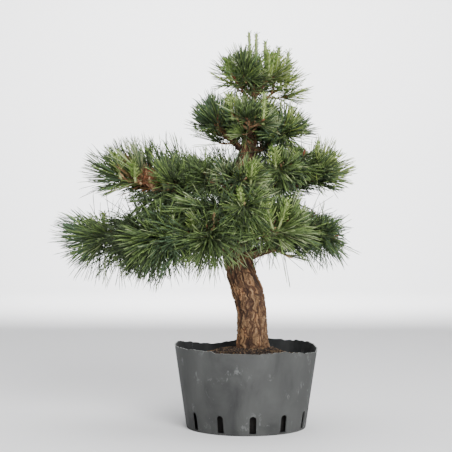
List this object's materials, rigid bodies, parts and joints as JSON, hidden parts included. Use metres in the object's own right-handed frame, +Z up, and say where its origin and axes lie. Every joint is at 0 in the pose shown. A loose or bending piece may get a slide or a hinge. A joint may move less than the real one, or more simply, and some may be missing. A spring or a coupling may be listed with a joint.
{
  "type": "potted japanese black pine",
  "caption": "Japanese black pine grown as a tall bonsai with open tiers of long needles on a curved trunk, in a hand-cut grey nursery pot with drain slots round its foot.",
  "frame": {"origin": "middle of the pot's flat underside", "axes": "+Z up along the trunk, -Y towards the viewer of the picture, +X to that viewer's right"},
  "size_m": [0.6203, 0.461, 0.7839],
  "materials": {
    "pot_plastic": "matt, dusty",
    "soil": "granular",
    "bark": "rough plates",
    "needles": "waxy"
  },
  "bodies": {
    "root": {"bough_low_fore": "bark", "bough_low_fore_left": "bark", "bough_low_fore_right": "bark", "bough_low_left": "bark", "bough_low_left_fore": "bark", "bough_low_left_rear": "bark", "bough_low_rear_left": "bark", "bough_low_rear_right": "bark", "bough_low_right": "bark", "bough_low_right_fore": "bark", "bough_low_right_rear": "bark", "bough_mid_fore": "bark", "bough_mid_left": "bark", "bough_mid_left_fore": "bark", "bough_mid_left_rear": "bark", "bough_mid_rear": "bark", "bough_mid_right": "bark", "bough_mid_right_fore": "bark", "bough_mid_right_rear": "bark", "bough_upper_fore": "bark", "bough_upper_left": "bark", "bough_upper_rear": "bark", "bough_upper_right": "bark", "needles_low_fore": "needles", "needles_low_fore_left": "needles", "needles_low_fore_right": "needles", "needles_low_left": "needles", "needles_low_left_fore": "needles", "needles_low_left_rear": "needles", "needles_low_rear_left": "needles", "needles_low_rear_right": "needles", "needles_low_right": "needles", "needles_low_right_fore": "needles", "needles_low_right_rear": "needles", "needles_mid_fore": "needles", "needles_mid_left": "needles", "needles_mid_left_fore": "needles", "needles_mid_left_rear": "needles", "needles_mid_rear": "needles", "needles_mid_right": "needles", "needles_mid_right_fore": "needles", "needles_mid_right_rear": "needles", "needles_top": "needles", "needles_upper_fore": "needles", "needles_upper_left": "needles", "needles_upper_rear": "needles", "needles_upper_right": "needles", "pot": "pot_plastic", "soil": "soil", "trunk": "bark"}
  },
  "joints": []
}
